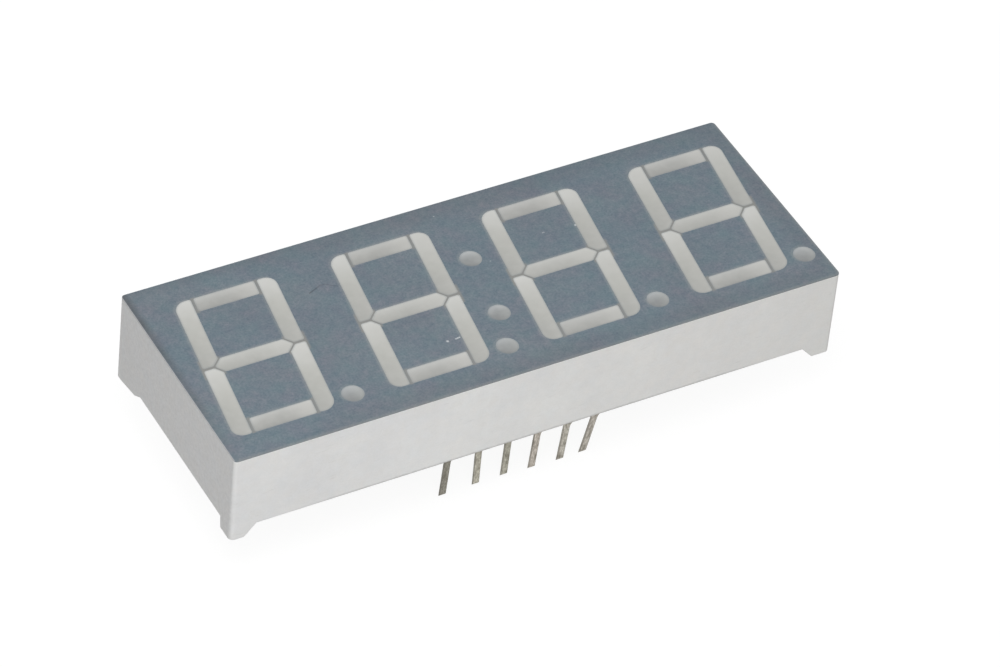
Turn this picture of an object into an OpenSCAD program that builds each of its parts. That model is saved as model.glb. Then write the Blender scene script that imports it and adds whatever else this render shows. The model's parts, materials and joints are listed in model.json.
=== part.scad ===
// Four digit, seven segment LED clock display with a colon, on two rows of flat pins.
// X runs along the digits, Y towards their tops and Z out of the face. The origin lies
// under the middle of the module, at the level of the pin tips. Sizes are millimetres.

/* [Housing] */
// Width of the housing, across the rows of pins
body_width = 19.05; // [18.4:0.05:24]
// Height of the housing, from the rim at the back to the face
body_height = 6.75; // [6:0.05:9]
// Gap left between the faces of two modules that stand at the digit pitch
butt_gap = 0.4; // [0.2:0.1:1]
// Thickness of the long walls beside the circuit board
long_wall = 0.95; // [0.6:0.05:1.1]
// Thickness of the end walls beside the circuit board
end_wall = 0.7; // [0.4:0.05:0.75]
// Radius of the upright corners
corner_r = 0.3; // [0.1:0.05:1]
// Radius of the corners inside the walls
inner_corner_r = 0.3; // [0.1:0.1:1]
// How far each wall spreads, from the face down to the feet
wall_draft = 0.08; // [0:0.01:0.15]
// Thickness of the ink coat on the face
ink = 0.1; // [0.04:0.02:0.2]

/* [Feet] */
// Height of the corner feet below the rim
foot_height = 1.05; // [0.5:0.05:2]
// Length of the two left-hand feet along the long walls
left_foot_length = 1.05; // [0.8:0.05:4]
// Length of the two right-hand feet along the long walls
right_foot_length = 1.5; // [0.8:0.05:4]
// Length of the two near feet along the end walls
near_foot_length = 1.5; // [1.2:0.1:4]
// Length of the two far feet along the end walls
far_foot_length = 3.05; // [1.2:0.05:5]
// Length of the level part of the far feet, from which the rest slopes up
far_foot_level = 0.65; // [0.3:0.05:1]
// Rise of the underside of the far feet, from the level part to the end
far_foot_rise = 0.45; // [0:0.05:0.5]
// Run of the slope from a foot up to the rim
foot_slope = 0.95; // [0.2:0.05:2]
// Run of the steep end of the near feet
steep_slope = 0.1; // [0.05:0.05:1]

/* [Digits] */
// Distance from one digit to the next
digit_pitch = 12.7; // [12.3:0.1:18]
// Height of a digit
digit_height = 14.5; // [12:0.1:15.6]
// Width of a digit, measured level
digit_width = 8.22; // [7.4:0.02:8.6]
// Width of an upright bar
upright_bar = 1.41; // [1.1:0.01:1.8]
// Width of a level bar
level_bar = 1.47; // [1.1:0.01:1.8]
// Gap between the ends of neighbouring bars
bar_gap = 0.22; // [0.16:0.02:0.4]
// Gap along the slanted ends of the middle bar
mitre_gap = 0.14; // [0.12:0.02:0.3]
// Gap from each point of the middle bar to the middle of the upright bars
tip_gap = 0.24; // [0.2:0.02:0.4]
// Slope of the ends of the middle bar, degrees
mitre_angle = 48; // [40:1:55]
// Lean of the digits, degrees
slant = 8; // [0:1:12]
// Radius of the four outer corners of a digit
digit_corner_r = 0.95; // [0.3:0.05:1.2]
// Radius of all other bar corners
bar_corner_r = 0.16; // [0.06:0.02:0.3]
// Offset of the digits towards the right-hand end
digit_shift = 0.04; // [0:0.02:0.2]
// Offset of the digits towards the near wall
digit_drop = 0.08; // [0:0.02:0.2]

/* [Points and colon] */
// Radius of a decimal point
point_r = 0.85; // [0.5:0.05:0.85]
// Gap between a digit and its decimal point
point_gap = 0.67; // [0.45:0.02:0.75]
// Drop of the decimal points below the foot of a digit
point_drop = 0.06; // [0:0.02:0.2]
// Radius of a colon dot
colon_r = 0.85; // [0.5:0.05:1]
// Height of each colon dot above or below the middle
colon_rise = 3.05; // [1.5:0.05:4]

/* [Light wells] */
// How far a light well closes in on each side, from the face to the board
well_taper = 0.24; // [0.1:0.02:0.3]
// How far the well of a round dot closes in on each side, from the face to the board
dot_taper = 0.34; // [0.1:0.02:0.36]
// Thickness of the face over the cored pockets
skin = 1.2; // [0.6:0.1:2.5]
// Least web between a cored pocket and a light well
web = 0.6; // [0.4:0.05:0.8]
// How far a cored pocket closes in on each side towards its end
pocket_taper = 0.1; // [0.05:0.05:0.2]
// Radius of the corners of a cored pocket
pocket_r = 0.3; // [0.2:0.05:0.5]

/* [Board and potting] */
// Thickness of the circuit board
board_t = 1; // [0.6:0.1:1.6]
// Clearance round the edge of the circuit board
board_clearance = 0.1; // [0.05:0.05:0.2]
// Depth of the potting below the rim
potting_recess = 0.4; // [0.2:0.05:0.8]
// Thickness of the potting over the board
potting_t = 0.6; // [0.4:0.05:1.2]
// Height that the potting creeps up the wall and the pins
creep_height = 0.15; // [0.05:0.05:0.2]
// Distance over which the creeping edge fades out
creep_run = 0.45; // [0.2:0.05:0.8]

/* [LED chips] */
// Side of an LED chip
chip_size = 0.3; // [0.2:0.02:0.4]
// Height of an LED chip
chip_height = 0.2; // [0.1:0.02:0.3]
// Thickness of a bond wire
wire_d = 0.04; // [0.03:0.01:0.06]
// Radius of the loop of a bond wire
wire_loop_r = 0.2; // [0.16:0.02:0.24]

/* [Pins] */
// Distance from one pin to the next
pin_pitch = 2.54; // [2:0.02:5.08]
// Distance between the two rows of pins
row_spacing = 15.24; // [10.16:0.02:15.5]
// Width of a pin
pin_width = 0.48; // [0.4:0.02:0.52]
// Thickness of the pin metal
pin_t = 0.22; // [0.18:0.01:0.4]
// Length of the longest pins below the feet
pin_reach = 4.8; // [4:0.1:8]
// Length of the narrow end of a pin, below its shoulder
pin_tail = 3.85; // [2:0.05:4.2]
// Height of the bevel on the near side of a pin's tip
tip_bevel = 0.25; // [0.05:0.05:0.4]
// Width of the shoulder of a pin
shoulder_width = 1.5; // [1.5:0.02:1.84]
// Radius where the narrow end runs into the shoulder
shoulder_fillet = 0.48; // [0.1:0.02:0.48]
// Diameter of the holes for the pins in the board
pin_hole_d = 0.7; // [0.66:0.02:0.9]
// Radius of a solder joint at the board
solder_r = 0.72; // [0.62:0.02:0.8]
// Radius of a solder joint at its end
solder_tip_r = 0.4; // [0.3:0.02:0.5]
// Height of a solder joint
solder_height = 0.4; // [0.2:0.05:0.5]

/* [Hidden] */
digits = 4;
letters = ["a", "b", "c", "d", "e", "f", "g"];
colon_sides = ["upper", "lower"];
// Sideways bend at the tip of each pin of the near row, from left to right
near_row_bend = [0.26, -0.02, 0.16, 0.33, 0.42, 1.05];
// Height of each pin of the near row above the lowest one, from left to right
near_row_lift = [0.18, 0.25, 0.28, 0.1, 0, 0.05];
pins_per_row = len(near_row_bend);
pin_count = 2 * pins_per_row;

// Heights, counted up from the pin tips
foot_z = pin_reach;
rim_z = foot_z + foot_height;
face_z = rim_z + body_height;
ink_z = face_z - ink;
potting_z = rim_z + potting_recess;
board_z = potting_z + potting_t;
chip_z = board_z + board_t;
shoulder_z = pin_tail;
// The pins start to bend a little above their shoulders
bend_rise = 1.2;
bend_z = shoulder_z + bend_rise;

body_length = digits * digit_pitch - butt_gap;
half_height = digit_height / 2;
half_width = digit_width / 2;
// Sideways lean of the digits for each millimetre of height
lean = tan(slant);
// Length by which a cutting shape passes through what it cuts
over = 0.3;
// Steps in the rounded corners: small ones, those of the walls, and large ones
small_steps = 2;
wall_steps = 5;
large_steps = 8;
arc_step = 15;
// Least radius of a corner that has moved in
least_r = 0.04;
// Sides of the round dots, and of the smaller round shapes
dot_sides = 48;
round_sides = 32;
// Sides of the section of a bond wire
wire_sides = 6;
// Distance that the pin's head stops short of the board's front
head_short = 0.05;
// Land left at the edge of the potting, and at the edge of a pin's tip
edge_land = 0.02;

function segment_name(digit, letter) = str("digit_", digit, "_segment_", letter);
function point_name(digit) = str("decimal_point_", digit);
function colon_name(side) = str("colon_", side);
function chips_name(digit) = str("led_chips_digit_", digit);
function pin_name(number) = str("pin_", number);

// ---- Outlines ----

function unit(v) = v / norm(v);
function turned(v, angle) =
    [v.x * cos(angle) - v.y * sin(angle), v.x * sin(angle) + v.y * cos(angle)];

// The arc that rounds corner p, between its neighbours, to radius r
function corner_arc(before, p, after, r, steps) =
    let (
        u = unit(before - p),
        v = unit(after - p),
        half = acos(u * v) / 2,
        side = u.x * v.y - u.y * v.x > 0 ? -1 : 1,
        middle = p + unit(u + v) * r / sin(half),
        start = p + u * r / tan(half)
    )
    [for (k = [0:steps]) middle + turned(start - middle, side * (180 - 2 * half) * k / steps)];

// Corner p of a convex outline after each edge has moved in by a distance
function inset_corner(before, p, after, distance) =
    let (
        a = unit(p - before),
        b = unit(after - p),
        m = [-a.y, a.x],
        n = [-b.y, b.x]
    )
    p + distance * (m + n) / (1 + m * n);

// A closed outline from corners [x, y, radius, steps], listed anticlockwise
function rounded(corners, inset = 0) =
    let (
        count = len(corners),
        flat = [for (c = corners) [c.x, c.y]],
        moved = [
            for (i = [0:count - 1])
                inset_corner(flat[(i + count - 1) % count], flat[i], flat[(i + 1) % count], inset)
        ]
    )
    [
        for (i = [0:count - 1])
            each corner_arc(
                moved[(i + count - 1) % count], moved[i], moved[(i + 1) % count],
                max(corners[i][2] - inset, least_r), corners[i][3]
            )
    ];

function rectangle(length, width, r, steps) = [
    [-length / 2, -width / 2, r, steps],
    [length / 2, -width / 2, r, steps],
    [length / 2, width / 2, r, steps],
    [-length / 2, width / 2, r, steps]
];

function body_outline(inset = 0) =
    rounded(rectangle(body_length, body_width, corner_r, wall_steps), inset);

// The space inside the walls, from the rim to the board
function cavity_outline(inset = 0) =
    rounded(
        rectangle(
            body_length - 2 * end_wall, body_width - 2 * long_wall, inner_corner_r, wall_steps
        ),
        inset
    );

// The same outline mirrored, still listed anticlockwise
function flipped(points, sx, sy) =
    let (last = len(points) - 1)
    [for (i = [0:last]) let (p = points[sx * sy > 0 ? i : last - i]) [p.x * sx, p.y * sy]];

function slanted(points) = [for (p = points) [p.x + p.y * lean, p.y]];

// ---- Segments ----

// The middle bar ends in points that face the gaps between the upright bars
middle_tip_x = half_width - upright_bar / 2 - tip_gap;
middle_flat_x = middle_tip_x - level_bar / 2 / tan(mitre_angle);
inner_x = half_width - upright_bar;

// Where the slanted end of an upright bar lies at a height, a mitre gap off the middle bar
function mitre_x(y) = middle_tip_x + (mitre_gap - y * cos(mitre_angle)) / sin(mitre_angle);
function mitre_y(x) = ((middle_tip_x - x) * sin(mitre_angle) + mitre_gap) / cos(mitre_angle);

upright_corners = [
    [mitre_x(bar_gap / 2), bar_gap / 2, bar_corner_r, small_steps],
    [half_width, bar_gap / 2, bar_corner_r, small_steps],
    [half_width, half_height, digit_corner_r, large_steps],
    [inner_x, half_height, bar_corner_r, small_steps],
    [inner_x, mitre_y(inner_x), bar_corner_r, small_steps]
];
end_length = 2 * (inner_x - bar_gap);
end_corners = [
    for (c = rectangle(end_length, level_bar, bar_corner_r, small_steps))
        [c.x, c.y + half_height - level_bar / 2, c[2], c[3]]
];
middle_corners = [
    [-middle_flat_x, -level_bar / 2, bar_corner_r, small_steps],
    [middle_flat_x, -level_bar / 2, bar_corner_r, small_steps],
    [middle_tip_x, 0, bar_corner_r, small_steps],
    [middle_flat_x, level_bar / 2, bar_corner_r, small_steps],
    [-middle_flat_x, level_bar / 2, bar_corner_r, small_steps],
    [-middle_tip_x, 0, bar_corner_r, small_steps]
];

function is_upright(letter) = letter != "a" && letter != "d" && letter != "g";
function side_of(letter) = letter == "e" || letter == "f" ? -1 : 1;
function end_of(letter) = letter == "c" || letter == "d" || letter == "e" ? -1 : 1;
function corners_of(letter) =
    is_upright(letter) ? upright_corners : letter == "g" ? middle_corners : end_corners;

function digit_place(digit) =
    [(digit - (digits + 1) / 2) * digit_pitch + digit_shift, -digit_drop];

function segment_outline(digit, letter, inset = 0) = [
    for (p = slanted(flipped(rounded(corners_of(letter), inset), side_of(letter), end_of(letter))))
        p + digit_place(digit)
];

// The place of the LED chip that lights a segment, from the middle of the digit
function segment_middle(letter) =
    letter == "g" ? [0, 0]
    : is_upright(letter)
        ? let (y = (half_height + bar_gap / 2) / 2)
            [side_of(letter) * (half_width - upright_bar / 2) + end_of(letter) * y * lean,
             end_of(letter) * y]
        : let (y = end_of(letter) * (half_height - level_bar / 2)) [y * lean, y];
function segment_place(digit, letter) = digit_place(digit) + segment_middle(letter);

point_y = point_r - half_height - point_drop;
point_x = half_width + point_y * lean + point_gap + point_r;
function point_place(digit) = digit_place(digit) + [point_x, point_y];

function colon_place(side) =
    let (y = side == "upper" ? colon_rise : -colon_rise) [y * lean, y - digit_drop];

// ---- Solids ----

// A solid through outlines of the same number of points, from the lowest up
module loft(outlines, heights) {
    n = len(outlines[0]);
    rings = len(outlines);
    polyhedron(
        points = [for (k = [0:rings - 1], p = outlines[k]) [p.x, p.y, heights[k]]],
        faces = concat(
            [[for (i = [0:n - 1]) i]],
            [
                for (k = [0:rings - 2], i = [0:n - 1])
                    let (j = (i + 1) % n) [k * n + i, k * n + n + i, k * n + n + j, k * n + j]
            ],
            [[for (i = [n - 1:-1:0]) (rings - 1) * n + i]]
        )
    );
}

module slab(outline, low, high) {
    translate([0, 0, low]) linear_extrude(high - low) polygon(outline);
}

// A light well of a segment: closing in from the ink down to the board
module segment_well(digit, letter, high) {
    heights = [chip_z, ink_z, high];
    insets = [well_taper, 0, 0];
    loft([for (inset = insets) segment_outline(digit, letter, inset)], heights);
}

// A light well of a round dot
module dot_well(place, r, high) {
    translate([place.x, place.y, chip_z])
        cylinder(h = ink_z - chip_z, r1 = r - dot_taper, r2 = r, $fn = dot_sides);
    translate([place.x, place.y, ink_z])
        cylinder(h = high - ink_z, r = r, $fn = dot_sides);
}

module all_wells(high) {
    for (digit = [1:digits]) {
        for (letter = letters) segment_well(digit, letter, high);
        dot_well(point_place(digit), point_r, high);
    }
    for (side = colon_sides) dot_well(colon_place(side), colon_r, high);
}

// A cored pocket in the back of the block, between two levels of a leaning line
module pocket(place, half_span, low_y, high_y) {
    corners = [
        for (c = rectangle(2 * half_span, high_y - low_y, pocket_r, small_steps))
            [c.x, c.y + (low_y + high_y) / 2, c[2], c[3]]
    ];
    heights = [chip_z - over, ink_z - skin];
    insets = [0, pocket_taper];
    loft([for (inset = insets) [for (p = slanted(rounded(corners, inset))) p + place]], heights);
}

// The wells leave room in both windows of a digit, and between one digit and the next
module cored_pockets() {
    window_low = level_bar / 2 + web;
    window_high = half_height - level_bar - web;
    between_low = point_y + point_r + web;
    between_high = half_height - web;
    for (digit = [1:digits]) {
        pocket(digit_place(digit), inner_x - web, window_low, window_high);
        pocket(digit_place(digit), inner_x - web, -window_high, -window_low);
    }
    between_half = digit_pitch / 2 - half_width - web;
    for (digit = [1:digits - 1]) {
        place = digit_place(digit) + [digit_pitch / 2, 0];
        if (digit == digits / 2) {
            pocket(place, between_half, web + colon_r - colon_rise, colon_rise - colon_r - web);
            pocket(place, between_half, colon_rise + colon_r + web, between_high);
        } else {
            pocket(place, between_half, between_low, between_high);
        }
    }
}

// What is cut from between the feet of one wall: points of [along the wall, height]
module foot_gap(low_end, high_end, low_slope, high_slope, level_end, rise) {
    polygon([
        [low_end, foot_z - over],
        [level_end, foot_z - over],
        [level_end, foot_z],
        [high_end, foot_z + rise],
        [high_end - high_slope, rim_z],
        [low_end + low_slope, rim_z],
        [low_end, foot_z]
    ]);
}

module housing() {
    left_end = -body_length / 2 + left_foot_length;
    right_end = body_length / 2 - right_foot_length;
    near_end = -body_width / 2 + near_foot_length;
    far_end = body_width / 2 - far_foot_length;
    level_end = body_width / 2 - far_foot_level;
    color("whitesmoke") difference() {
        loft([body_outline(-wall_draft), body_outline()], [foot_z, ink_z]);
        slab(cavity_outline(), foot_z - over, chip_z);
        // Between the feet of the long walls, then of the end walls
        rotate([90, 0, 0]) linear_extrude(body_width + 2 * over, center = true)
            foot_gap(left_end, right_end, foot_slope, foot_slope, right_end + over, 0);
        rotate([90, 0, 90]) linear_extrude(body_length + 2 * over, center = true)
            foot_gap(near_end, far_end, steep_slope, foot_slope, level_end, far_foot_rise);
        all_wells(ink_z + over);
        cored_pockets();
    }
}

module face_mask() {
    color("slategray") translate([0, 0, ink_z]) linear_extrude(ink) difference() {
        polygon(body_outline());
        for (digit = [1:digits]) {
            for (letter = letters) polygon(segment_outline(digit, letter));
            translate(point_place(digit)) circle(r = point_r, $fn = dot_sides);
        }
        for (side = colon_sides)
            translate(colon_place(side)) circle(r = colon_r, $fn = dot_sides);
    }
}

module segment(digit, letter) {
    color("gainsboro") difference() {
        segment_well(digit, letter, face_z);
        chip_with_wire(segment_place(digit, letter), is_upright(letter) ? 90 - slant : 0);
    }
}

module dot(place, r) {
    color("gainsboro") difference() {
        dot_well(place, r, face_z);
        chip_with_wire(place, 0);
    }
}

// ---- LED chips and their wires ----

module chip(place, turn) {
    translate([place.x, place.y, chip_z + chip_height / 2])
        rotate(turn) cube([chip_size, chip_size, chip_height], center = true);
}

// A wire loops from the top of a chip over to its pad on the board
module wire(place, turn) {
    translate([place.x, place.y, chip_z + chip_height]) rotate(turn) {
        translate([wire_loop_r, 0, 0]) rotate([90, 0, 0])
            rotate_extrude(angle = 180, $fn = round_sides)
                translate([wire_loop_r, 0]) circle(d = wire_d, $fn = wire_sides);
        translate([2 * wire_loop_r, 0, -chip_height])
            cylinder(h = chip_height, d = wire_d, $fn = wire_sides);
    }
}

module chip_with_wire(place, turn) {
    chip(place, turn);
    wire(place, turn);
}

module led_chips(digit) {
    color("gold") {
        for (letter = letters)
            chip(segment_place(digit, letter), is_upright(letter) ? 90 - slant : 0);
        chip(point_place(digit), 0);
    }
}

module led_chips_colon() {
    color("gold") for (side = colon_sides) chip(colon_place(side), 0);
}

module bond_wires() {
    color("goldenrod") {
        for (digit = [1:digits]) {
            for (letter = letters)
                wire(segment_place(digit, letter), is_upright(letter) ? 90 - slant : 0);
            wire(point_place(digit), 0);
        }
        for (side = colon_sides) wire(colon_place(side), 0);
    }
}

// ---- Pins, board and potting ----

// The near row is numbered from left to right, and the far row back from right to left
function is_near(number) = number <= pins_per_row;
function pin_column(number) = is_near(number) ? number : pin_count + 1 - number;
function pin_place(number) = [
    (pin_column(number) - (pins_per_row + 1) / 2) * pin_pitch,
    is_near(number) ? -row_spacing / 2 : row_spacing / 2
];
function pin_bend(number) = is_near(number) ? near_row_bend[number - 1] : 0;
function pin_lift(number) = is_near(number) ? near_row_lift[number - 1] : 0;

// Half of a pin's outline as [across, up], from the tip to the head, with the part below
// the bend lifted
function pin_edge(lift) = concat(
    [[pin_width / 2, lift]],
    [
        for (a = [0:arc_step:90])
            [pin_width / 2 + shoulder_fillet * (1 - cos(a)),
             shoulder_z + lift - shoulder_fillet * (1 - sin(a))]
    ],
    [
        [shoulder_width / 2, shoulder_z + lift],
        [shoulder_width / 2, bend_z],
        [shoulder_width / 2, board_z],
        [pin_width / 2, board_z],
        [pin_width / 2, chip_z - head_short]
    ]
);

// A pin bends sideways from a little above its shoulder down to its tip
function bent(p, bend) = [p.x - bend * max(0, 1 - p.y / bend_z), p.y];

module pin_solid(number) {
    place = pin_place(number);
    bend = pin_bend(number);
    lift = pin_lift(number);
    edge = pin_edge(lift);
    last = len(edge) - 1;
    outline = concat(
        [for (p = edge) bent(p, bend)],
        [for (i = [last:-1:0]) bent([-edge[i].x, edge[i].y], bend)]
    );
    translate([place.x, place.y, 0]) difference() {
        translate([0, pin_t / 2, 0])
            rotate([90, 0, 0]) linear_extrude(pin_t) polygon(outline);
        // The bevel leaves the tip's lowest edge on the far side
        translate([-shoulder_width, 0, lift])
            rotate([90, 0, 90]) linear_extrude(2 * shoulder_width) polygon([
                [pin_t / 2 - edge_land, 0],
                [-pin_t / 2, tip_bevel],
                [-pin_t / 2 - over, tip_bevel],
                [-pin_t / 2 - over, -over],
                [pin_t / 2 - edge_land, -over]
            ]);
    }
}

module all_pins() {
    for (number = [1:pin_count]) pin_solid(number);
}

module pin(number) {
    color("silver") pin_solid(number);
}

module solder_cones() {
    for (number = [1:pin_count]) {
        place = pin_place(number);
        translate([place.x, place.y, board_z - solder_height])
            cylinder(h = solder_height, r1 = solder_tip_r, r2 = solder_r, $fn = round_sides);
    }
}

module solder_joints() {
    color("lightgray") difference() {
        solder_cones();
        all_pins();
    }
}

module circuit_board() {
    color("darkgreen") difference() {
        slab(cavity_outline(board_clearance), board_z, chip_z);
        for (number = [1:pin_count]) {
            place = pin_place(number);
            translate([place.x, place.y, board_z - over])
                cylinder(h = board_t + 2 * over, d = pin_hole_d, $fn = round_sides);
        }
    }
}

// The outline of a pin's shoulder, moved out
function pin_ring(out) =
    rounded(rectangle(shoulder_width + 2 * out, pin_t + 2 * out, out, small_steps));

// The potting covers the board, fills the gap round it and creeps up the wall and the pins
module potting() {
    // The dish widens to a thin land beside the wall, and on past the edge below it
    dish_slope = (creep_run - edge_land) / creep_height;
    color("lightblue", 0.6) difference() {
        union() {
            difference() {
                slab(cavity_outline(), potting_z - creep_height, chip_z);
                loft(
                    [cavity_outline(edge_land - over * dish_slope), cavity_outline(creep_run)],
                    [potting_z - creep_height - over, potting_z]
                );
            }
            for (number = [1:pin_count])
                translate(pin_place(number))
                    loft(
                        [pin_ring(edge_land), pin_ring(2 * creep_height)],
                        [potting_z - creep_height, potting_z + creep_height]
                    );
        }
        slab(cavity_outline(board_clearance), board_z, chip_z + over);
        solder_cones();
        all_pins();
    }
}

housing();
face_mask();
circuit_board();
potting();
for (digit = [1:digits]) {
    for (letter = letters)
        segment(digit, letter);
    dot(point_place(digit), point_r);
    led_chips(digit);
}
for (side = colon_sides)
    dot(colon_place(side), colon_r);
led_chips_colon();
bond_wires();
solder_joints();
for (number = [1:pin_count])
    pin(number);
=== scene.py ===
"""Looks for the seven segment display module: materials, floor, lights and camera."""
import json
import math

import bpy
from mathutils import Matrix, Vector

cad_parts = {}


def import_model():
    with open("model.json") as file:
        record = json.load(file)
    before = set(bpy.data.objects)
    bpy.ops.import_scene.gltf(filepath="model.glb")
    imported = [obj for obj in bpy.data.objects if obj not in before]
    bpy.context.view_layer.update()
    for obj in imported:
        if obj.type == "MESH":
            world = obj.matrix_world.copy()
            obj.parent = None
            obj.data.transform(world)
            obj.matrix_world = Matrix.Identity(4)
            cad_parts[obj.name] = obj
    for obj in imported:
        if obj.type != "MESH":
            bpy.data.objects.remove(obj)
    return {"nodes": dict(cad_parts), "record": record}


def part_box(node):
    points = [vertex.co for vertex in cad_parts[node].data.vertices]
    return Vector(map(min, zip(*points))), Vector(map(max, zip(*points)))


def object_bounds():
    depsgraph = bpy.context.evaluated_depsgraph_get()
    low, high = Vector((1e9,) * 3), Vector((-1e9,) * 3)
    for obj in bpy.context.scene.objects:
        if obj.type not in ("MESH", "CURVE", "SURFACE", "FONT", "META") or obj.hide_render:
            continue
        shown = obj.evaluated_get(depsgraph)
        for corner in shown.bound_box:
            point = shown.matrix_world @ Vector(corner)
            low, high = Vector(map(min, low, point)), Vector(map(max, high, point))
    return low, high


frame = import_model()
cad_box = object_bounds()
scene = bpy.context.scene
MM = 0.001

# ---- Places taken from the frame ----

face_low, face_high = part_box("face_mask")
FACE_Z = face_high.z
HALF_LENGTH = face_high.x
HALF_WIDTH = face_high.y
FLOOR_Z = cad_box[0].z
# The level of the housing's lower rim, between its feet
RIM_Z = FACE_Z - 6.75 * MM
# The digits lean to the right: sideways run for each unit of height
LEAN = math.tan(math.radians(8))


def middle(node):
    """The middle of a node's box."""
    low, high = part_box(node)
    return (low + high) / 2


def slanted_width(node):
    """A bar's width along the digits, without what its lean adds to its box."""
    low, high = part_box(node)
    return high.x - low.x - LEAN * (high.y - low.y)


FIRST_DIGIT = middle("digit_1_segment_g")
DIGIT_PITCH = middle("digit_2_segment_g").x - FIRST_DIGIT.x


# ---- Shader nodes ----

class Shader:
    """A node tree, with short ways to add nodes and to join them."""

    def __init__(self, owner):
        owner.use_nodes = True
        self.owner = owner
        self.tree = owner.node_tree
        self.tree.nodes.clear()

    def add(self, kind, inputs=None, **settings):
        """Adds a node. Each input is a socket to join or a plain value."""
        node = self.tree.nodes.new("ShaderNode" + kind)
        for key, value in settings.items():
            setattr(node, key, value)
        for key, value in (inputs or {}).items():
            if isinstance(value, bpy.types.NodeSocket):
                self.tree.links.new(value, node.inputs[key])
            else:
                node.inputs[key].default_value = value
        return node

    def coords(self, kind="Object"):
        return self.add("TexCoord").outputs[kind]

    def math(self, operation, a, b=0.0):
        return self.add("Math", {0: a, 1: b}, operation=operation).outputs[0]

    def span(self, value, low, high, to_low=0.0, to_high=1.0, smooth=False):
        """Maps a value from one span to another, and holds it at the ends."""
        kind = "SMOOTHSTEP" if smooth else "LINEAR"
        inputs = {"Value": value, "From Min": low, "From Max": high, "To Min": to_low, "To Max": to_high}
        return self.add("MapRange", inputs, interpolation_type=kind).outputs["Result"]

    def split(self, vector):
        return self.add("SeparateXYZ", {"Vector": vector}).outputs

    def noise(self, size, detail=2.0, stretch=(1, 1, 1), coords=None, roughness=0.5):
        """Noise with features about size millimetres across."""
        mapping = self.add("Mapping", {"Vector": coords or self.coords(), "Scale": stretch})
        inputs = {
            "Vector": mapping.outputs["Vector"],
            "Scale": 1 / (size * MM),
            "Detail": detail,
            "Roughness": roughness,
        }
        return self.add("TexNoise", inputs).outputs["Fac"]

    def ramp(self, factor, *stops):
        """Maps a factor through colour stops, each (position, colour)."""
        node = self.add("ValToRGB", {"Fac": factor})
        elements = node.color_ramp.elements
        while len(elements) < len(stops):
            elements.new(0.5)
        for element, (position, colour) in zip(elements, stops):
            element.position = position
            element.color = (*colour, 1)
        return node.outputs["Color"]

    def blend(self, factor, a, b, kind="MIX"):
        """Goes from colour a to colour b. A Mix node takes them in inputs 6 and 7."""
        node = self.add("Mix", {0: factor}, data_type="RGBA", blend_type=kind)
        for key, value in ((6, a), (7, b)):
            if isinstance(value, bpy.types.NodeSocket):
                self.tree.links.new(value, node.inputs[key])
            else:
                node.inputs[key].default_value = (*value, 1)
        return node.outputs[2]

    def tinted(self, colour, tint):
        """A colour multiplied by another."""
        return self.blend(1.0, colour, tint, "MULTIPLY")

    def bump(self, height, depth, normal=None):
        """A normal from a height, of depth millimetres in all."""
        inputs = {"Height": height, "Distance": depth * MM, "Strength": 1.0}
        if normal:
            inputs["Normal"] = normal
        return self.add("Bump", inputs).outputs["Normal"]

    def soft_edges(self, radius):
        """The normal with its edges rounded to a radius in millimetres."""
        return self.add("Bevel", {"Radius": radius * MM}, samples=4).outputs["Normal"]

    def edges(self, radius):
        """A mask for all edges of the piece, within a radius in millimetres."""
        flat = self.add("NewGeometry").outputs["Normal"]
        tilt = self.add("VectorMath", {0: self.soft_edges(radius), 1: flat}, operation="DOT_PRODUCT")
        return self.span(tilt.outputs["Value"], 1, 0.7)

    def right_near_edges(self, radius, most):
        """A mask for the edges that face right or near, within a radius in millimetres."""
        inputs = {0: self.soft_edges(radius), 1: (0.7, -0.7, 0)}
        tilt = self.add("VectorMath", inputs, operation="DOT_PRODUCT")
        return self.span(tilt.outputs["Value"], 0, most)

    def principled(self, colour, normal, roughness, **uniform):
        inputs = {"Base Color": colour, "Normal": normal, "Roughness": roughness}
        inputs.update({key.replace("_", " "): value for key, value in uniform.items()})
        shader = self.add("BsdfPrincipled", inputs)
        self.add("OutputMaterial", {"Surface": shader.outputs["BSDF"]})
        return self.owner


def shader(name):
    return Shader(bpy.data.materials.new(name))


def grey(level):
    return (level, level, level)


def from_screen(*levels):
    """Linear values from screen levels of 0 to 255."""
    return tuple(((v / 255 + 0.055) / 1.055) ** 2.4 if v > 10 else v / 3294.6 for v in levels)


# ---- Materials ----

INK = from_screen(116, 129, 138)
STAIN_AND_SHADE = (0.17, 0.155, 0.12)


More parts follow.
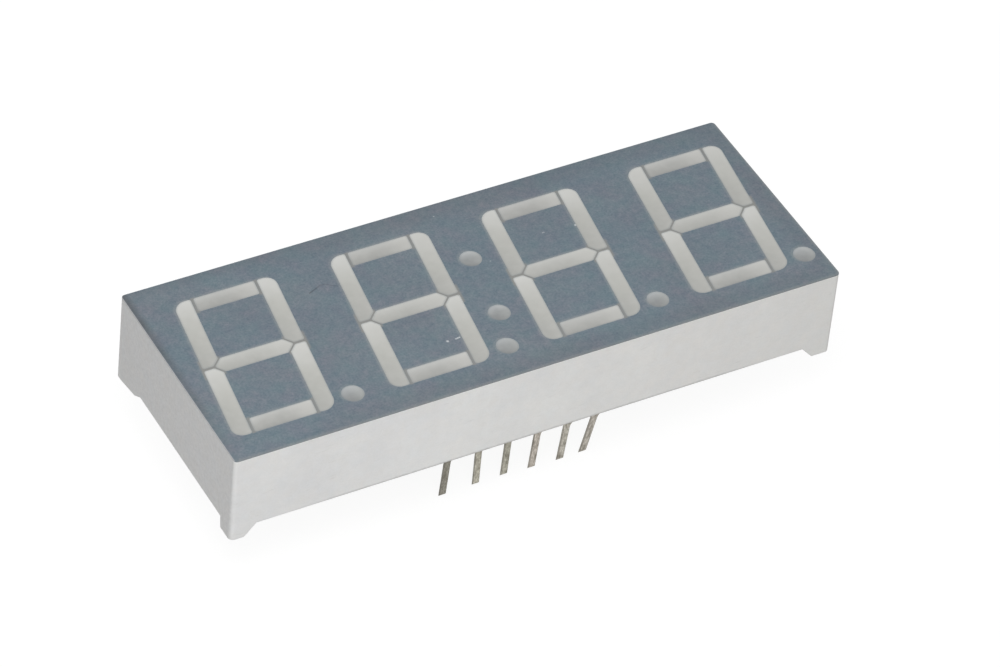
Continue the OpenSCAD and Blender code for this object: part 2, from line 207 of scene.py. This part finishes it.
def housing_plastic():
    """White moulded plastic: spark-eroded grain, faint flow clouds and scuffs, with painted light falloff
    along its length, painted grain shade on the end walls and a band of painted shade along the lower
    rim.
    """
    s = shader("housing_plastic")
    clouds = s.noise(5, 4)
    colour = s.ramp(clouds, (0.3, from_screen(237, 237, 237)), (0.7, from_screen(244, 244, 243)))
    x, _, z = s.split(s.coords())
    # Painted light falloff: the plastic is drawn lightest left of the middle, darker towards both ends
    # and warmer towards the right end
    painted_falloff = s.ramp(
        s.span(x, -HALF_LENGTH, HALF_LENGTH),
        (0, (0.962, 0.962, 0.962)),
        (0.1, (0.966, 0.966, 0.966)),
        (0.26, (1, 1, 0.998)),
        (0.45, (1, 1, 0.99)),
        (0.8, (0.974, 0.966, 0.95)),
        (1, (0.962, 0.957, 0.938)),
    )
    colour = s.tinted(colour, painted_falloff)
    casts = s.ramp(s.noise(1, 4), (0.3, (0.992, 1, 1.008)), (0.7, (1.008, 1, 0.992)))
    colour = s.tinted(colour, casts)
    patches = s.span(s.noise(0.8, 3), 0.35, 0.7)
    colour = s.blend(s.math("MULTIPLY", patches, 0.08), colour, from_screen(196, 196, 190))
    scuffs = s.span(s.noise(1.1, 4, (1, 1, 5)), 0.64, 0.76)
    colour = s.blend(s.math("MULTIPLY", scuffs, 0.25), colour, from_screen(205, 204, 200))
    # The end walls reach past the ink's ends
    at_ends = s.math("GREATER_THAN", s.math("ABSOLUTE", x), HALF_LENGTH - 0.01 * MM)
    # Painted shade: a darker mottle on the end walls only, standing for the grain relief under grazing
    # light
    mottle = s.math("MULTIPLY", s.span(s.noise(0.35, 4, roughness=0.7), 0.3, 0.7, 0, 0.2), at_ends)
    colour = s.blend(mottle, colour, from_screen(150, 150, 150))
    # Painted shade: a ragged darker band along the lower rim, in the middle part of the long walls
    ragged = s.math("ADD", z, s.math("MULTIPLY", s.noise(0.5, 3), 0.2 * MM))
    rim_shade = s.span(ragged, RIM_Z + 0.1 * MM, RIM_Z + 0.3 * MM, 0.5, 0)
    in_middle = s.span(s.math("ABSOLUTE", x), 0.6 * HALF_LENGTH, 0.8 * HALF_LENGTH, 1, 0)
    rim_shade = s.math("MULTIPLY", rim_shade, in_middle)
    colour = s.blend(rim_shade, colour, from_screen(150, 150, 145))
    grain = s.noise(0.13, 2)
    colour = s.blend(s.span(grain, 0.3, 0.7, 0, 0.07), colour, from_screen(176, 176, 172))
    dents = s.noise(1.6, 2)
    height = s.math("ADD", grain, dents)
    normal = s.bump(height, 0.008, s.soft_edges(0.08))
    roughness = s.span(clouds, 0.3, 0.7, 0.42, 0.55)
    return s.principled(colour, normal, roughness, Specular_IOR_Level=0.4)


def dust_speck(s, x, y, size):
    """A mask that is 1 on a speck at a place on the face, in millimetres."""
    to_speck = s.add("VectorMath", {0: s.coords(), 1: (x * MM, y * MM, FACE_Z)}, operation="DISTANCE")
    return s.span(to_speck.outputs["Value"], 0.4 * size * MM, size * MM, 1, 0)


def within(s, value, target, half, soft):
    """A mask that is 1 where a value lies within half of a target, and fades out over soft."""
    off = s.math("ABSOLUTE", s.math("SUBTRACT", value, target))
    return s.span(off, half, half + soft, 1, 0)


def hair_mark(s, x, y):
    """A mask for a short curled hair line on the face, to the right of the first digit."""
    start, reach, low, rise = -12.41, 2.4, 4.0, 1.0
    along = s.span(x, start * MM, (start + reach) * MM)
    course = s.ramp(along, (0, grey(0.27)), (0.22, grey(0.49)), (0.48, grey(0.76)), (0.66, grey(0.76)),
                    (0.79, grey(0.45)), (1, grey(0.13)))
    level = s.span(course, 0, 1, low * MM, (low + rise) * MM)
    line = within(s, y, level, 0.03 * MM, 0.06 * MM)
    weight = s.ramp(along, (0, grey(0)), (0.04, grey(1)), (0.3, grey(0.8)), (0.5, grey(0.45)),
                    (0.96, grey(0.4)), (1, grey(0)))
    return s.math("MULTIPLY", line, weight)


def gap_glow(s, x, y):
    """A mask for the thin gaps between the bars, which the bars beside them brighten."""
    up = s.math("SUBTRACT", y, FIRST_DIGIT.y)
    along = s.math("SUBTRACT", s.math("SUBTRACT", x, FIRST_DIGIT.x), s.math("MULTIPLY", up, LEAN))
    off_middle = s.math("PINGPONG", along, DIGIT_PITCH / 2)
    height = s.math("ABSOLUTE", up)
    end_low, end_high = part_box("digit_1_segment_a")
    half_slit = 0.11 * MM
    slit = slanted_width("digit_1_segment_a") / 2 + half_slit
    start = end_low.y - FIRST_DIGIT.y
    stop = end_high.y - FIRST_DIGIT.y
    beside_ends = s.math("MULTIPLY", within(s, off_middle, slit, half_slit, 0.12 * MM),
                         s.span(height, start - 0.2 * MM, start))
    beside_ends = s.math("MULTIPLY", beside_ends, s.span(height, stop, stop + 0.1 * MM, 1, 0))
    upright = middle("digit_1_segment_b").x - FIRST_DIGIT.x
    beside_middle = s.math("MULTIPLY", within(s, off_middle, upright - 0.5 * MM, 0.75 * MM, 0.2 * MM),
                           s.span(height, 0.85 * MM, 1.1 * MM, 1, 0))
    beside_ends = s.math("MULTIPLY", beside_ends, 0.67)
    beside_middle = s.math("MULTIPLY", beside_middle, 0.82)
    return s.math("MAXIMUM", beside_ends, beside_middle)


def worn_edges(s, x, y):
    """A mask for the darker edges of the ink, strongest at the far end of the left edge."""
    ragged = s.math("MULTIPLY", s.math("SUBTRACT", s.noise(0.6, 3), 0.5), 0.5 * MM)
    left = s.span(s.math("ADD", s.math("ADD", x, HALF_LENGTH), ragged), 0.2 * MM, 0.75 * MM, 1, 0)
    left = s.math("MULTIPLY", left, s.span(y, -HALF_WIDTH, 0.7 * HALF_WIDTH, 0.06, 0.58))
    left = s.math("MULTIPLY", left, s.span(s.noise(1.2, 2), 0.35, 0.6, 0.7, 1.2))
    right = s.span(s.math("SUBTRACT", HALF_LENGTH, x), 0.3 * MM, 1.1 * MM, 0.14, 0)
    far = s.span(s.math("SUBTRACT", HALF_WIDTH, y), 0.25 * MM, 1.2 * MM, 0.17, 0)
    near = s.span(s.math("ADD", y, HALF_WIDTH), 0.2 * MM, 0.5 * MM, 0.06, 0)
    inside = s.math("MINIMUM", s.math("SUBTRACT", HALF_WIDTH, s.math("ABSOLUTE", y)),
                    s.math("SUBTRACT", HALF_LENGTH, x))
    brim = s.math("MULTIPLY", s.span(inside, 1.0 * MM, 2.0 * MM, 0.13, 0),
                  s.span(x, -0.75 * HALF_LENGTH, -0.35 * HALF_LENGTH))
    ends = s.math("MAXIMUM", left, right)
    sides = s.math("MAXIMUM", far, near)
    return s.math("MAXIMUM", s.math("MAXIMUM", ends, sides), brim)


# White specks on the face: x, y and radius in millimetres, then weight. Three make a short streak
SPECKS = (
    (-5.4, -4.36, 0.14, 0.75),
    (-4.71, -4.37, 0.09, 0.8),
    (-4.56, -4.35, 0.09, 1),
    (-4.41, -4.33, 0.09, 0.9),
    (6.78, 3.4, 0.07, 0.5),
    (6.9, 3.42, 0.07, 0.5),
    (9.48, 3.2, 0.11, 0.85),
    (0.09, 8.26, 0.08, 0.4),
    (1.66, 2.15, 0.08, 0.35),
)


def face_ink():
    """Matt blue-grey ink: fine mottle, darker brims, one hair mark and a few specks."""
    s = shader("face_ink")
    fine = s.noise(0.17, 4, roughness=0.7)
    coarse = s.noise(0.55, 2)
    mottle = s.math("ADD", s.math("MULTIPLY", fine, 0.7), s.math("MULTIPLY", coarse, 0.3))
    colour = s.ramp(
        mottle,
        (0.36, from_screen(101, 118, 129)),
        (0.5, INK),
        (0.64, from_screen(130, 139, 146)),
    )
    clouds = s.span(s.noise(1.8, 3), 0.35, 0.65)
    tint = s.ramp(clouds, (0, (0.94, 1.0, 0.99)), (1, (1.06, 0.985, 1.01)))
    colour = s.tinted(colour, tint)
    broad = s.ramp(s.noise(6, 2), (0.35, (0.95, 0.955, 0.97)), (0.65, (1.04, 1.035, 1.025)))
    colour = s.tinted(colour, broad)
    casts = s.ramp(s.noise(8, 2, (1, 1.4, 1)), (0.35, (0.97, 1.005, 1.015)), (0.65, (1.025, 0.99, 0.985)))
    colour = s.tinted(colour, casts)
    x, y, _ = s.split(s.coords())
    # Painted highlight: ink edges that face right or near, at the outer brims and on the far and left
    # sides of each opening, are drawn lighter
    painted_edge_glow = s.math("MULTIPLY", s.right_near_edges(0.35, 0.3), 0.42)
    colour = s.blend(painted_edge_glow, colour, from_screen(178, 178, 172))
    colour = s.blend(gap_glow(s, x, y), colour, from_screen(152, 151, 146))
    colour = s.blend(worn_edges(s, x, y), colour, from_screen(82, 82, 84))
    bare = s.span(s.math("ADD", x, HALF_LENGTH), 0, 0.07 * MM, 1, 0)
    colour = s.blend(bare, colour, from_screen(205, 205, 206))
    colour = s.blend(s.math("MULTIPLY", hair_mark(s, x, y), 0.65), colour, from_screen(72, 80, 88))
    for x_place, y_place, size, weight in SPECKS:
        speck = s.math("MULTIPLY", dust_speck(s, x_place, y_place, size), weight)
        colour = s.blend(speck, colour, from_screen(222, 226, 228))
    normal = s.bump(s.math("ADD", mottle, s.noise(0.9, 3)), 0.008)
    roughness = s.span(clouds, 0, 1, 0.5, 0.62)
    return s.principled(colour, normal, roughness, Specular_IOR_Level=0.35)


def lens_epoxy(name, node, levels, light_across_start, light_across_share, cast=(1, 1, 1)):
    """Milky epoxy in a light well, with painted light and shade: lighter towards its far and right-hand
    walls, darker towards its near end.
    """
    s = shader(name)
    low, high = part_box(node)
    size = high - low
    x, y, _ = s.split(s.coords("Generated"))
    across = s.math("SUBTRACT", s.math("MULTIPLY", x, size.x), s.math("MULTIPLY", y, size.y * LEAN))
    across = s.math("DIVIDE", across, slanted_width(node))
    # Painted light and shade along the lens, from dark at its near end to light at its far end
    painted_shade_along = s.math("ADD", y, s.span(s.noise(2.5, 2), 0.3, 0.7, -0.06, 0.06))
    stops = [(at, from_screen(level, level + 0.5, level - tint)) for at, level, tint in levels]
    colour = s.ramp(painted_shade_along, *stops)
    # Painted light across the lens, towards its right-hand wall
    painted_light_across = s.span(across, light_across_start, 1, 0, light_across_share, smooth=True)
    colour = s.blend(painted_light_across, colour, from_screen(222, 221, 216))
    haze = s.noise(0.7, 3)
    colour = s.blend(s.span(haze, 0.4, 0.75, 0, 0.1), colour, from_screen(232, 231, 228))
    colour = s.tinted(colour, cast)
    under_ink = s.math("MULTIPLY", s.edges(0.3), 0.5)
    colour = s.blend(under_ink, colour, INK)
    normal = s.bump(s.math("ADD", haze, s.noise(0.25, 2)), 0.004)
    roughness = s.span(haze, 0.3, 0.7, 0.3, 0.42)
    return s.principled(colour, normal, roughness, Coat_Weight=0.15, Coat_Roughness=0.25)


def circuit_board():
    """Green solder mask over woven glass fibre."""
    s = shader("board")
    weave = s.math("ADD", s.noise(0.4, 2, (1, 6, 1)), s.noise(0.4, 2, (6, 1, 1)))
    colour = s.ramp(weave, (0.7, (0.012, 0.07, 0.03)), (1.3, (0.03, 0.14, 0.06)))
    return s.principled(colour, s.bump(weave, 0.02), s.span(weave, 0.7, 1.3, 0.3, 0.5))


def solder_shadow(s, x, y):
    """A mask for the solder joints, which show faintly through the potting."""
    pitch = middle("pin_2").x - middle("pin_1").x
    off_pin = s.math("SUBTRACT", pitch / 2, s.math("PINGPONG", x, pitch / 2))
    off_row = s.math("SUBTRACT", s.math("ABSOLUTE", y), middle("pin_12").y)
    squares = s.math("ADD", s.math("POWER", off_pin, 2.0), s.math("POWER", off_row, 2.0))
    away = s.math("POWER", squares, 0.5)
    in_rows = s.math("LESS_THAN", s.math("ABSOLUTE", x), middle("pin_6").x + pitch / 2)
    return s.math("MULTIPLY", s.span(away, 0.5 * MM, 1.1 * MM, 1, 0, smooth=True), in_rows)


def potting_epoxy():
    """Milky potting: clouds of filler over the board's green, sunk bubbles and a glossy skin."""
    s = shader("potting_epoxy")
    clouds = s.noise(3, 4)
    colour = s.ramp(clouds, (0.3, (0.44, 0.47, 0.38)), (0.7, (0.60, 0.61, 0.52)))
    x, y, _ = s.split(s.coords())
    past_end = s.math("SUBTRACT", HALF_LENGTH, s.math("ABSOLUTE", x))
    past_side = s.math("SUBTRACT", HALF_WIDTH, s.math("ABSOLUTE", y))
    rim = s.span(s.math("MINIMUM", past_end, past_side), 0.9 * MM, 1.6 * MM, 0.6, 0)
    colour = s.blend(rim, colour, (0.74, 0.74, 0.68))
    colour = s.blend(s.math("MULTIPLY", solder_shadow(s, x, y), 0.45), colour, (0.25, 0.27, 0.25))
    cells = s.add("TexVoronoi", {"Vector": s.coords(), "Scale": 1 / (1.7 * MM)})
    bubble = s.span(cells.outputs["Distance"], 0.05, 0.12, 1, 0, smooth=True)
    bubble = s.math("MULTIPLY", bubble, s.span(s.noise(4, 1), 0.45, 0.6))
    colour = s.blend(s.math("MULTIPLY", bubble, 0.5), colour, (0.24, 0.26, 0.20))
    height = s.math("SUBTRACT", s.noise(4, 2), s.math("MULTIPLY", bubble, 0.5))
    roughness = s.span(clouds, 0.3, 0.7, 0.1, 0.22)
    return s.principled(colour, s.bump(height, 0.08), roughness, Coat_Weight=0.5, Coat_Roughness=0.06)


def tinned_pin():
    """Dull tin over stamped metal: streaks along the pin, stains, darker sheared edges and painted shade
    on the rounded right-hand edges.
    """
    s = shader("tinned_pin")
    streaks = s.noise(0.1, 4, (1, 1, 0.4), roughness=0.65)
    colour = s.ramp(
        streaks,
        (0.3, (0.29, 0.27, 0.235)),
        (0.63, (0.61, 0.58, 0.52)),
        (0.76, (0.92, 0.91, 0.87)),
    )
    x, _, _ = s.split(s.coords())
    reach = middle("pin_6").x
    # One tint for each pin of a row, from the left
    tints = ((0.56, 0.56, 0.53), (0.93, 0.93, 0.87), (0.78, 0.79, 0.74), (1.03, 0.99, 0.98),
             (0.98, 0.98, 0.96), (0.97, 0.95, 0.95))
    stops = [(column / (len(tints) - 1), tint) for column, tint in enumerate(tints)]
    colour = s.tinted(colour, s.ramp(s.span(x, -reach, reach), *stops))
    stains = s.noise(0.35, 4, (1, 1, 0.5))
    colour = s.blend(s.span(stains, 0.5, 0.68, 0, 0.6), colour, STAIN_AND_SHADE)
    sideways, _, _ = s.split(s.add("NewGeometry").outputs["Normal"])
    sheared = s.span(s.math("ABSOLUTE", sideways), 0.55, 0.85)
    colour = s.blend(s.math("MULTIPLY", sheared, 0.4), colour, (0.13, 0.12, 0.10))
    # Painted shade: the rounded right-hand edges of each pin are darkened in the stain colour
    right_edge_shade, _, _ = s.split(s.soft_edges(0.12))
    colour = s.blend(s.span(right_edge_shade, 0.05, 0.5, 0, 0.55), colour, STAIN_AND_SHADE)
    height = s.math("ADD", streaks, s.math("MULTIPLY", stains, 0.6))
    roughness = s.span(stains, 0.35, 0.7, 0.34, 0.6)
    return s.principled(colour, s.bump(height, 0.03, s.soft_edges(0.04)), roughness, Metallic=0.85)


def solder():
    """Bright metal with the faint ripples it froze in."""
    s = shader("solder")
    ripples = s.noise(0.3, 3)
    colour = s.ramp(ripples, (0.3, (0.48, 0.48, 0.47)), (0.7, (0.68, 0.68, 0.68)))
    roughness = s.span(ripples, 0.3, 0.7, 0.15, 0.35)
    return s.principled(colour, s.bump(ripples, 0.03), roughness, Metallic=1.0)


def led_chip():
    """A sawn crystal with fine saw lines."""
    s = shader("led_chip")
    saw = s.noise(0.05, 2, (1, 1, 6))
    colour = s.ramp(saw, (0.3, (0.42, 0.33, 0.10)), (0.7, (0.62, 0.50, 0.2)))
    return s.principled(colour, s.bump(saw, 0.006), s.span(saw, 0.3, 0.7, 0.2, 0.4))


def gold_wire():
    """Gold with fine drawing lines."""
    s = shader("gold_wire")
    drawn = s.noise(0.03, 2, (1, 1, 0.3))
    colour = s.ramp(drawn, (0.3, (0.78, 0.52, 0.16)), (0.7, (0.9, 0.66, 0.26)))
    roughness = s.span(drawn, 0.3, 0.7, 0.18, 0.3)
    return s.principled(colour, s.bump(drawn, 0.002), roughness, Metallic=1.0)


# Screen levels along a lens, from its near end to its far end, each (place, level, tint): the lens colour
# with painted shade at the near end and painted light at the far end
UPRIGHT_PAINTED_SHADE_LEVELS = ((0, 177, 4), (0.15, 180, 4), (0.4, 186, 5), (0.62, 194, 5), (0.82, 206, 4), (1, 217, 3))
MIDDLE_PAINTED_SHADE_LEVELS = ((0, 176, 4), (0.5, 189, 4), (1, 206, 3))
END_PAINTED_SHADE_LEVELS = ((0, 166, 3), (0.5, 180, 3), (1, 200, 2))
DOT_PAINTED_SHADE_LEVELS = ((0, 131, 1), (0.3, 143, 0), (0.55, 154, 0), (1, 187, -1))


def lens_materials():
    """One finish for each kind of lit area: uprights, middle bars, end bars and dots."""
    return {
        "upright": lens_epoxy("lens_upright", "digit_1_segment_b", UPRIGHT_PAINTED_SHADE_LEVELS, 0.1, 0.17),
        "middle": lens_epoxy("lens_middle", "digit_1_segment_g", MIDDLE_PAINTED_SHADE_LEVELS, 0.45, 0.45),
        "end": lens_epoxy("lens_end", "digit_1_segment_a", END_PAINTED_SHADE_LEVELS, 0.45, 0.45),
        "dot": lens_epoxy("lens_dot", "colon_upper", DOT_PAINTED_SHADE_LEVELS, 0.3, 0.2, cast=(0.99, 1.025, 1.04)),
    }


def lens_kind(node):
    """The kind of lit area, by the node's name."""
    letter = node[-1]
    if "segment" not in node:
        return "dot"
    if letter == "g":
        return "middle"
    return "end" if letter in "ad" else "upright"


def dress():
    """Gives every CAD node the material of its slot."""
    lenses = lens_materials()
    slots = {
        "housing_plastic": housing_plastic(),
        "face_ink": face_ink(),
        "board": circuit_board(),
        "potting_epoxy": potting_epoxy(),
        "tinned_pin": tinned_pin(),
        "solder": solder(),
        "led_chip": led_chip(),
        "gold_wire": gold_wire(),
    }
    for entry in frame["record"]["subparts"]:
        node = entry["node"]
        mesh = frame["nodes"][node].data
        mesh.materials.clear()
        mesh.materials.append(slots.get(entry["material_slot"]) or lenses[lens_kind(node)])


# ---- Floor, lights and camera ----

def floor():
    """A white sheet that glows in part, so that it stays white and still takes the shadow.

    Further out it only glows, so that no horizon shows.
    """
    half_side = 3.0
    mesh = bpy.data.meshes.new("floor")
    ring = ((-1, -1), (1, -1), (1, 1), (-1, 1))
    corners = [(x * half_side, y * half_side, FLOOR_Z) for x, y in ring]
    mesh.from_pydata(corners, [], [(0, 1, 2, 3)])
    plane = bpy.data.objects.new("floor", mesh)
    scene.collection.objects.link(plane)
    s = shader("floor_paper")
    path = s.add("LightPath").outputs
    seen = s.math("MAXIMUM", path["Is Camera Ray"], path["Is Glossy Ray"])
    seen = s.math("MAXIMUM", seen, path["Is Transmission Ray"])
    fibres = s.span(s.noise(0.8, 3), 0.3, 0.7, 0.98, 1.0)
    colour = s.blend(seen, grey(0.35), grey(1.0))
    colour = s.tinted(colour, s.ramp(fibres, (0, grey(0)), (1, grey(1))))
    paper = s.add("BsdfDiffuse", {"Color": colour})
    glow = s.add("Emission", {"Color": (1, 1, 1, 1), "Strength": 1.06})
    away = s.add("VectorMath", {0: s.coords()}, operation="LENGTH").outputs["Value"]
    share = s.math("MULTIPLY", seen, s.span(away, 2 * HALF_LENGTH, 5 * HALF_LENGTH, 0.86, 1.0))
    both = s.add("MixShader", {0: share, 1: paper.outputs[0], 2: glow.outputs[0]})
    s.add("OutputMaterial", {"Surface": both.outputs[0]})
    mesh.materials.append(s.owner)


def world():
    """Even light from all round, white where the camera or a gloss sees it."""
    scene.world = bpy.data.worlds.new("surroundings")
    s = Shader(scene.world)
    path = s.add("LightPath").outputs
    seen = s.math("MAXIMUM", path["Is Camera Ray"], path["Is Glossy Ray"])
    strength = s.span(seen, 0, 1, 0.436, 1.0)
    background = s.add("Background", {"Color": (1, 1, 1, 1), "Strength": strength})
    s.add("OutputWorld", {"Surface": background.outputs[0]})


def soft_lamp(name, place, size, watts, glare=True):
    """A square lamp that faces the middle of the display. Without glare, no gloss shows it."""
    data = bpy.data.lights.new(name, "AREA")
    data.size = size
    data.energy = watts
    lamp = bpy.data.objects.new(name, data)
    aim = Vector((0, 0, FACE_Z / 2)) - Vector(place)
    lamp.location = place
    lamp.rotation_euler = aim.to_track_quat("-Z", "Y").to_euler()
    lamp.visible_glossy = glare
    scene.collection.objects.link(lamp)


def camera():
    """A long lens from the front left, above, with a slight roll, at the photo's viewing angle."""
    place = Vector((-0.14567, -0.23179, FACE_Z + 0.24523))
    target = Vector((-0.001468, -0.005153, FACE_Z))
    data = bpy.data.cameras.new("camera")
    data.lens = 178.81
    data.sensor_width = 36.0
    data.clip_start = 0.01
    view = bpy.data.objects.new("camera", data)
    turn = (target - place).to_track_quat("-Z", "Y").to_matrix()
    turn @= Matrix.Rotation(math.radians(6.143), 3, "Z")
    view.matrix_world = Matrix.Translation(place) @ turn.to_4x4()
    scene.collection.objects.link(view)
    scene.camera = view


dress()
floor()
world()
soft_lamp("front", (-0.065, -0.17, 0.05), 0.1, 0.08, glare=False)
soft_lamp("above", (-0.07, -0.09, 0.2), 0.12, 0.21)
soft_lamp("back", (0.14, 0.16, 0.016), 0.03, 0.13, glare=False)
camera()
scene.view_settings.view_transform = "Standard"
